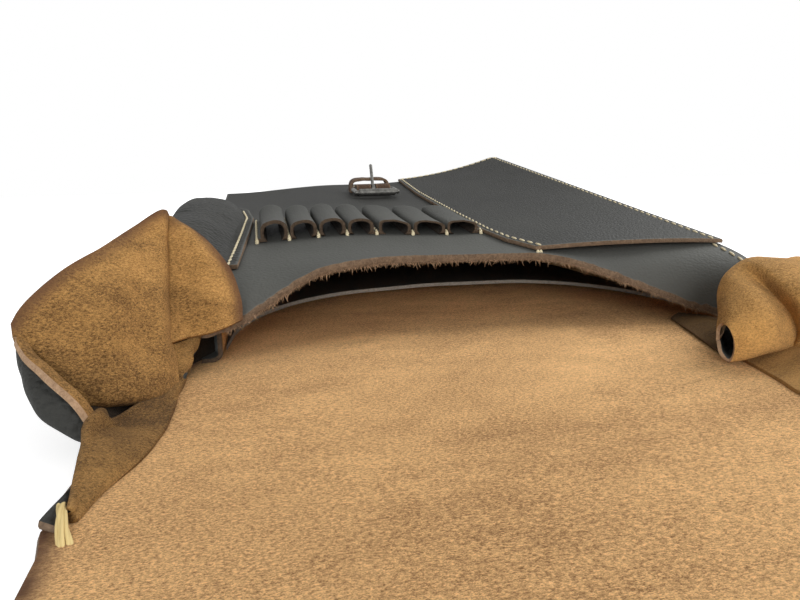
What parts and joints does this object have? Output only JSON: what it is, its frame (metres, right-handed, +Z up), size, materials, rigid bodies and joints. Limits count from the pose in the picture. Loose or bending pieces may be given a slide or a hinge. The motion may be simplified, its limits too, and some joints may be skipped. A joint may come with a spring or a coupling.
{
  "type": "leather saddle bag",
  "caption": "Black leather saddle bag lying open on its back: scooped mouth, soft side ears, suede flap, tool loops, pockets and a strap buckle.",
  "frame": {"origin": "middle of the bag's width on the underside of the back panel, at the line of the mouth", "axes": "+X across the bag to the large pocket's side, +Y from the mouth to the bottom seam, +Z up from the surface it lies on"},
  "size_m": [0.2915, 0.753, 0.0831],
  "materials": {
    "black_leather": "waxed grain",
    "pebbled_leather": "pebbled grain",
    "suede": "suede flesh side",
    "brown_leather": "worn",
    "waxed_cord": "waxed",
    "iron": "aged nickel"
  },
  "bodies": {
    "bag": {"back_panel": "suede", "front_panel": "black_leather", "gusset_left": "black_leather", "gusset_right": "black_leather", "gusset_bottom": "black_leather", "inner_divider": "black_leather", "left_ear": "suede", "right_ear": "suede", "side_pocket": "pebbled_leather", "large_pocket": "black_leather", "narrow_loops": "black_leather", "wide_loops": "black_leather", "buckle_chape": "brown_leather", "strap_keeper": "brown_leather", "bar_tacks": "waxed_cord"},
    "flap": {"flap": "suede", "closing_strap": "black_leather"},
    "buckle": {"buckle_frame": "iron"},
    "prong": {"buckle_prong": "iron"},
    "roller": {"buckle_roller": "iron"}
  },
  "joints": [
    {"name": "flap_fold", "type": "hinge", "parent": "bag", "child": "flap", "pos_m": [0, -0.112, 0.006], "axis": [-1, 0, 0], "range_deg": [0, 164], "deforming": ["left_ear", "right_ear"]},
    {"name": "buckle_lift", "type": "hinge", "parent": "bag", "child": "buckle", "pos_m": [-0.009, 0.21653, 0.06001], "axis": [-1, 0, 0], "range_deg": [0, 60]},
    {"name": "prong_swing", "type": "hinge", "parent": "bag", "child": "prong", "pos_m": [-0.009, 0.21653, 0.06001], "axis": [-1, 0, 0], "range_deg": [-95, 25]},
    {"name": "roller_spin", "type": "hinge", "parent": "buckle", "child": "roller", "pos_m": [-0.009, 0.20064, 0.05819], "axis": [1, 0, 0], "continuous": true}
  ]
}
